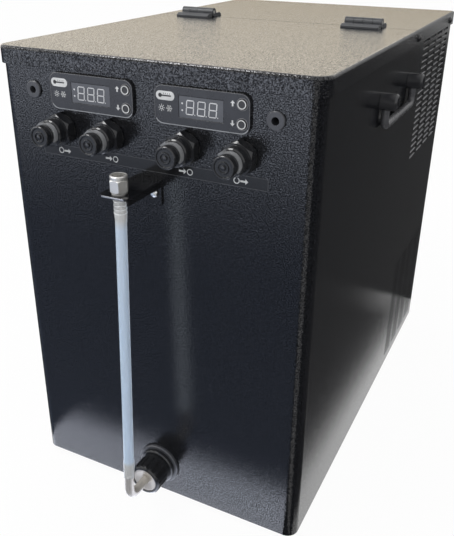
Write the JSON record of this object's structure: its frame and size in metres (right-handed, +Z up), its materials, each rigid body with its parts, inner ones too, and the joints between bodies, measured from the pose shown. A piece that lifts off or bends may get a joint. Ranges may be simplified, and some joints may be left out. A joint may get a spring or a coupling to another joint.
{
  "type": "glycol beer chiller",
  "caption": "Tabletop glycol chiller in a black casing, with hinged lid, temperature controllers, push-in hose ports, sight tube and folding side handles.",
  "frame": {"origin": "on the surface under the feet, below the middle of the object's box", "axes": "+Z up, -Y out of the front panel, +X to the viewer's right when facing the front"},
  "size_m": [0.3062, 0.509, 0.4247],
  "materials": {
    "powder_coat": "semi-gloss orange-peel powder coat",
    "bracket_coat": "satin powder coat",
    "zinc_sheet": "galvanised",
    "foam": "closed-cell foam, matte",
    "rubber": "matte",
    "hinge_black": "satin black",
    "screw_black": "black oxide",
    "bright_steel": "bright stainless",
    "controller_black": "satin moulded",
    "display_lens": "smoked, gloss",
    "button_black": "satin moulded",
    "socket_grey": "satin moulded",
    "fitting_black": "moulded, slight gloss",
    "clip_grey": "moulded",
    "clear_tube": "translucent",
    "handle_plastic": "satin",
    "handle_bar": "satin black",
    "tank_plastic": "moulded",
    "hose": "translucent hose",
    "copper": "drawn copper",
    "pump_plastic": "moulded",
    "compressor_paint": "gloss black",
    "fin_aluminium": "mill",
    "fan_plastic": "moulded",
    "motor_metal": "satin"
  },
  "bodies": {
    "casing": {"base_tray": "powder_coat", "front_panel": "powder_coat", "side_panel_left": "powder_coat", "side_panel_right": "powder_coat", "rear_panel": "powder_coat", "rear_cover": "powder_coat", "gauge_bracket": "bracket_coat", "partition": "zinc_sheet", "tank_insulation": "foam", "feet": "rubber", "fitting_seals": "rubber", "drain_washer": "rubber", "compressor_mounts": "rubber", "hinge_cover_leaves": "hinge_black", "casing_screws": "screw_black", "hinge_pins": "bright_steel", "hose_barb": "bright_steel", "drain_elbow": "bright_steel", "controllers": "controller_black", "display_lenses": "display_lens", "probe_sockets": "socket_grey", "bulkhead_fittings": "fitting_black", "panel_nuts": "fitting_black", "fitting_collets": "fitting_black", "drain_cap_nut": "fitting_black", "drain_bulkhead": "fitting_black", "sight_tube": "clear_tube", "handle_ears": "handle_plastic", "tank": "tank_plastic", "tank_deck": "tank_plastic", "tank_hoses": "hose", "evaporator_coil": "copper", "refrigerant_lines": "copper", "filter_drier": "copper", "pumps": "pump_plastic", "compressor": "compressor_paint", "condenser": "fin_aluminium", "fan_shroud": "fan_plastic", "power_inlet": "fan_plastic", "fan_motor": "motor_metal"},
    "lid": {"lid": "powder_coat", "lid_insulation": "foam", "lid_seal": "rubber", "hinge_lid_leaves": "hinge_black"},
    "handle_left": {"handle_bail_left": "handle_bar"},
    "handle_right": {"handle_bail_right": "handle_bar"},
    "button_left_up": {"button_left_up": "button_black"},
    "button_left_down": {"button_left_down": "button_black"},
    "button_right_up": {"button_right_up": "button_black"},
    "button_right_down": {"button_right_down": "button_black"},
    "plug_out_left": {"plug_out_left": "fitting_black"},
    "plug_in_left": {"plug_in_left": "fitting_black"},
    "plug_in_right": {"plug_in_right": "fitting_black"},
    "plug_out_right": {"plug_out_right": "fitting_black"},
    "clip_out_left": {"clip_out_left": "clip_grey"},
    "clip_in_left": {"clip_in_left": "clip_grey"},
    "clip_in_right": {"clip_in_right": "clip_grey"},
    "clip_out_right": {"clip_out_right": "clip_grey"},
    "swivel_nut": {"swivel_nut": "bright_steel"},
    "fan": {"fan_rotor": "fan_plastic"}
  },
  "joints": [
    {"name": "lid_hinge", "type": "hinge", "parent": "casing", "child": "lid", "pos_m": [0, 0.05694, 0.4205], "axis": [-1, 0, 0], "range_deg": [0, 180]},
    {"name": "handle_left_fold", "type": "hinge", "parent": "casing", "child": "handle_left", "pos_m": [-0.143, 0.00194, 0.37], "axis": [0, 1, 0], "range_deg": [0, 90]},
    {"name": "handle_right_fold", "type": "hinge", "parent": "casing", "child": "handle_right", "pos_m": [0.143, 0.00194, 0.37], "axis": [0, -1, 0], "range_deg": [0, 90]},
    {"name": "button_left_up_press", "type": "slide", "parent": "casing", "child": "button_left_up", "axis": [0, 1, 0], "range_m": [0, 0.0005], "stiffness_N_per_m": 300},
    {"name": "button_left_down_press", "type": "slide", "parent": "casing", "child": "button_left_down", "axis": [0, 1, 0], "range_m": [0, 0.0005], "stiffness_N_per_m": 300},
    {"name": "button_right_up_press", "type": "slide", "parent": "casing", "child": "button_right_up", "axis": [0, 1, 0], "range_m": [0, 0.0005], "stiffness_N_per_m": 300},
    {"name": "button_right_down_press", "type": "slide", "parent": "casing", "child": "button_right_down", "axis": [0, 1, 0], "range_m": [0, 0.0005], "stiffness_N_per_m": 300},
    {"name": "plug_out_left_pull", "type": "slide", "parent": "casing", "child": "plug_out_left", "axis": [0, -1, 0], "range_m": [0, 0.03]},
    {"name": "plug_in_left_pull", "type": "slide", "parent": "casing", "child": "plug_in_left", "axis": [0, -1, 0], "range_m": [0, 0.03]},
    {"name": "plug_in_right_pull", "type": "slide", "parent": "casing", "child": "plug_in_right", "axis": [0, -1, 0], "range_m": [0, 0.03]},
    {"name": "plug_out_right_pull", "type": "slide", "parent": "casing", "child": "plug_out_right", "axis": [0, -1, 0], "range_m": [0, 0.03]},
    {"name": "clip_out_left_lift", "type": "slide", "parent": "casing", "child": "clip_out_left", "axis": [0, 0, 1], "range_m": [0, 0.02]},
    {"name": "clip_in_left_lift", "type": "slide", "parent": "casing", "child": "clip_in_left", "axis": [0, 0, 1], "range_m": [0, 0.02]},
    {"name": "clip_in_right_lift", "type": "slide", "parent": "casing", "child": "clip_in_right", "axis": [0, 0, 1], "range_m": [0, 0.02]},
    {"name": "clip_out_right_lift", "type": "slide", "parent": "casing", "child": "clip_out_right", "axis": [0, 0, 1], "range_m": [0, 0.02]},
    {"name": "nut_spin", "type": "hinge", "parent": "casing", "child": "swivel_nut", "pos_m": [0, -0.23936, 0.334], "axis": [0, 0, 1], "continuous": true},
    {"name": "fan_spin", "type": "hinge", "parent": "casing", "child": "fan", "pos_m": [0.0755, 0.15419, 0.319], "axis": [1, 0, 0], "continuous": true}
  ]
}
